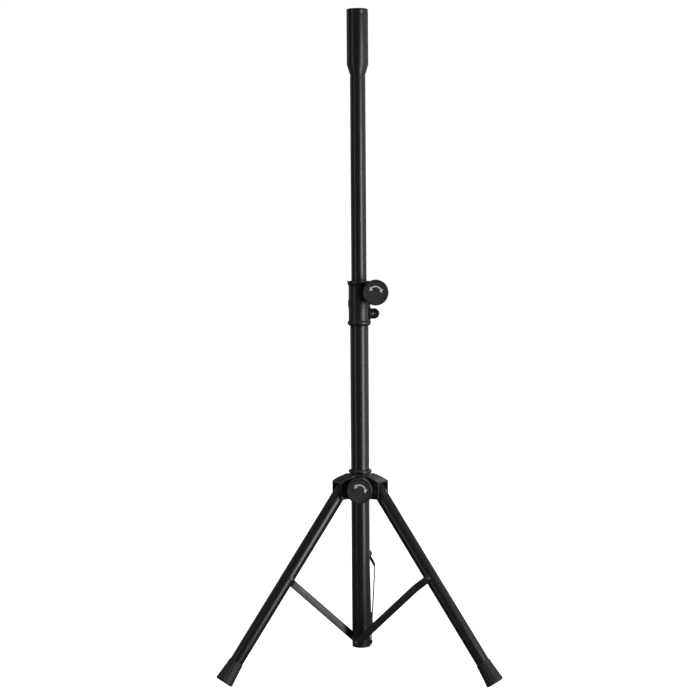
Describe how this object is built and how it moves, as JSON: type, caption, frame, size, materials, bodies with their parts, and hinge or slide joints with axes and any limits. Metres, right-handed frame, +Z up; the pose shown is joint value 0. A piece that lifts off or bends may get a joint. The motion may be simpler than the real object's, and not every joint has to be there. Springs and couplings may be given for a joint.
{
  "type": "speaker tripod stand",
  "caption": "Telescoping black tripod stand for a loudspeaker, with a standard 35 mm pole on top, clamp knobs, a sliding hub and folding braced legs on rubber feet.",
  "frame": {"origin": "on the floor, under the mast's axis, where the tripod stands", "axes": "+Z up along the mast; -Y is the front, where both knobs face; leg 2 points along +Y"},
  "size_m": [0.4538, 0.3971, 1.078],
  "materials": {
    "powder_coat": "satin black powder coat with fine grain on steel tube and strip",
    "moulded_black": "matt black glass-filled nylon mouldings",
    "knob_black": "grained black plastic knobs with a small pale printed turn arrow",
    "foot_rubber": "matt black rubber",
    "rivet_black": "black plated rivets, bolts and lock nuts",
    "zinc_steel": "zinc plated steel studs and clamp nut",
    "acetal": "natural acetal bushes and pads",
    "brass_insert": "brass threaded insert"
  },
  "bodies": {
    "mast": {"mast_lower": "powder_coat", "mast_foot": "moulded_black", "foot_rivets": "rivet_black", "collar_body": "moulded_black", "collar_bush": "acetal", "clamp_nut": "zinc_steel", "lug_bolt": "rivet_black", "lug_nut": "rivet_black"},
    "upper_mast": {"mast_upper": "powder_coat", "tube_guide": "acetal", "pole_adapter": "powder_coat", "pole_cap": "powder_coat"},
    "height_knob": {"height_knob": "knob_black", "height_knob_stud": "zinc_steel"},
    "hub": {"hub_body": "moulded_black", "hub_bush": "acetal", "hub_shoe": "acetal", "hub_insert": "brass_insert", "pivot_bolts": "rivet_black", "pivot_nuts": "rivet_black"},
    "hub_knob": {"hub_knob": "knob_black", "hub_knob_stud": "zinc_steel"},
    "leg_1": {"leg_1": "powder_coat", "leg_plug_1": "moulded_black", "leg_rivet_1": "rivet_black", "foot_1": "foot_rubber"},
    "brace_1": {"brace_1": "powder_coat", "brace_rivet_1": "rivet_black"},
    "leg_2": {"leg_2": "powder_coat", "leg_plug_2": "moulded_black", "leg_rivet_2": "rivet_black", "foot_2": "foot_rubber"},
    "brace_2": {"brace_2": "powder_coat", "brace_rivet_2": "rivet_black"},
    "leg_3": {"leg_3": "powder_coat", "leg_plug_3": "moulded_black", "leg_rivet_3": "rivet_black", "foot_3": "foot_rubber"},
    "brace_3": {"brace_3": "powder_coat", "brace_rivet_3": "rivet_black"}
  },
  "joints": [
    {"name": "mast_slide", "type": "slide", "parent": "mast", "child": "upper_mast", "axis": [0, 0, 1], "range_m": [-0.33, 0.1]},
    {"name": "height_knob_turn", "type": "hinge", "parent": "mast", "child": "height_knob", "pos_m": [0.0277, -0.018, 0.6218], "axis": [0, -1, 0], "range_deg": [0, 360]},
    {"name": "hub_slide", "type": "slide", "parent": "mast", "child": "hub", "axis": [0, 0, 1], "range_m": [0, 0.0851]},
    {"name": "hub_knob_turn", "type": "hinge", "parent": "hub", "child": "hub_knob", "pos_m": [0, -0.032, 0.3013], "axis": [0, -1, 0], "range_deg": [0, 360]},
    {"name": "leg_hinge_1", "type": "hinge", "parent": "hub", "child": "leg_1", "pos_m": [0.03161, -0.01825, 0.29684], "axis": [0.5, 0.866, 0], "range_deg": [-0.5, 34.5]},
    {"name": "brace_hinge_1", "type": "hinge", "parent": "mast", "child": "brace_1", "pos_m": [0, 0, 0.0435], "axis": [-0.5, -0.866, 0], "range_deg": [-0.5, 34.36]},
    {"name": "leg_hinge_2", "type": "hinge", "parent": "hub", "child": "leg_2", "pos_m": [0, 0.0365, 0.29684], "axis": [-1, 0, 0], "range_deg": [-0.5, 34.5]},
    {"name": "brace_hinge_2", "type": "hinge", "parent": "mast", "child": "brace_2", "pos_m": [0, 0, 0.0435], "axis": [1, 0, 0], "range_deg": [-0.5, 34.36]},
    {"name": "leg_hinge_3", "type": "hinge", "parent": "hub", "child": "leg_3", "pos_m": [-0.03161, -0.01825, 0.29684], "axis": [0.5, -0.866, 0], "range_deg": [-0.5, 34.5]},
    {"name": "brace_hinge_3", "type": "hinge", "parent": "mast", "child": "brace_3", "pos_m": [0, 0, 0.0435], "axis": [-0.5, 0.866, 0], "range_deg": [-0.5, 34.36]}
  ],
  "couplings": [
    {"joint": "leg_hinge_1", "follows": "hub_slide", "rad_per_m": 6.9731},
    {"joint": "brace_hinge_1", "follows": "hub_slide", "rad_per_m": 6.9435},
    {"joint": "leg_hinge_2", "follows": "hub_slide", "rad_per_m": 6.9731},
    {"joint": "brace_hinge_2", "follows": "hub_slide", "rad_per_m": 6.9435},
    {"joint": "leg_hinge_3", "follows": "hub_slide", "rad_per_m": 6.9731},
    {"joint": "brace_hinge_3", "follows": "hub_slide", "rad_per_m": 6.9435}
  ]
}
